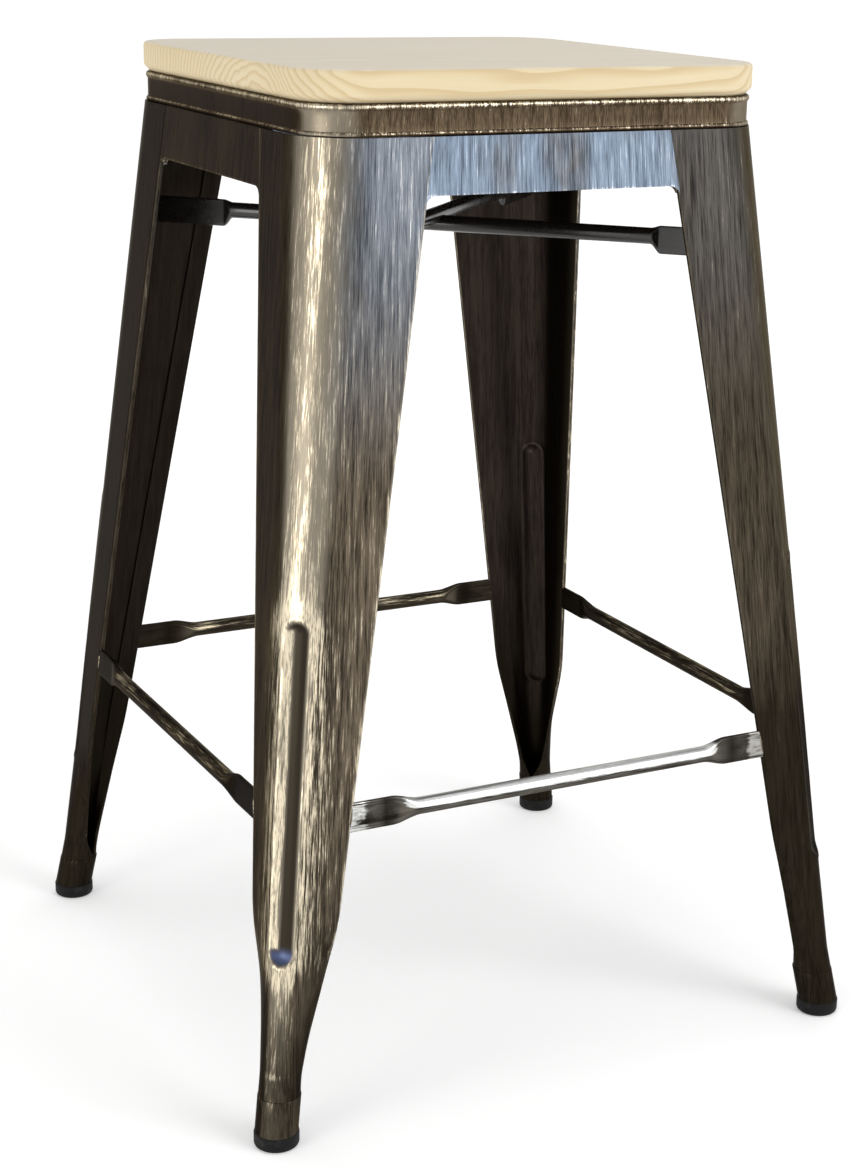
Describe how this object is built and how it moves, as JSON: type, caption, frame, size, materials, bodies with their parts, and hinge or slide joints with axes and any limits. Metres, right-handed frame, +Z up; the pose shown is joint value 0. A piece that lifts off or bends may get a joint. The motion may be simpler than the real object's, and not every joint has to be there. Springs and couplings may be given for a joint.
{
  "type": "bar stool with footrest",
  "caption": "Backless stool: square wooden seat on a pressed-steel frame with splayed channel legs, crossed braces and a ring of footrest rails.",
  "frame": {"origin": "on the floor, at the centre of the square formed by the four feet", "axes": "+Z up through the middle of the seat, X and Y along the seat's sides, front is -Y"},
  "size_m": [0.407, 0.407, 0.6],
  "materials": {
    "wood": "pale softwood, satin",
    "frame_steel": "dark antiqued steel, worn to pale metal on edges and ribs",
    "rail_steel": "brushed steel with dark patches, brighter than the frame",
    "brace_steel": "glossy near-black",
    "rubber": "matte black",
    "zinc": "plain bright fasteners, a guess because they are out of sight"
  },
  "bodies": {
    "root": {"seat_board": "wood", "seat_pan": "frame_steel", "leg_front_left": "frame_steel", "leg_front_right": "frame_steel", "leg_back_left": "frame_steel", "leg_back_right": "frame_steel", "apron_front": "frame_steel", "apron_right": "frame_steel", "apron_back": "frame_steel", "apron_left": "frame_steel", "rail_front": "rail_steel", "rail_right": "rail_steel", "rail_back": "rail_steel", "rail_left": "rail_steel", "brace_lower": "brace_steel", "brace_upper": "brace_steel", "foot_cap_front_left": "rubber", "foot_cap_front_right": "rubber", "foot_cap_back_left": "rubber", "foot_cap_back_right": "rubber", "seat_washers": "zinc", "seat_screws": "zinc"}
  },
  "joints": []
}
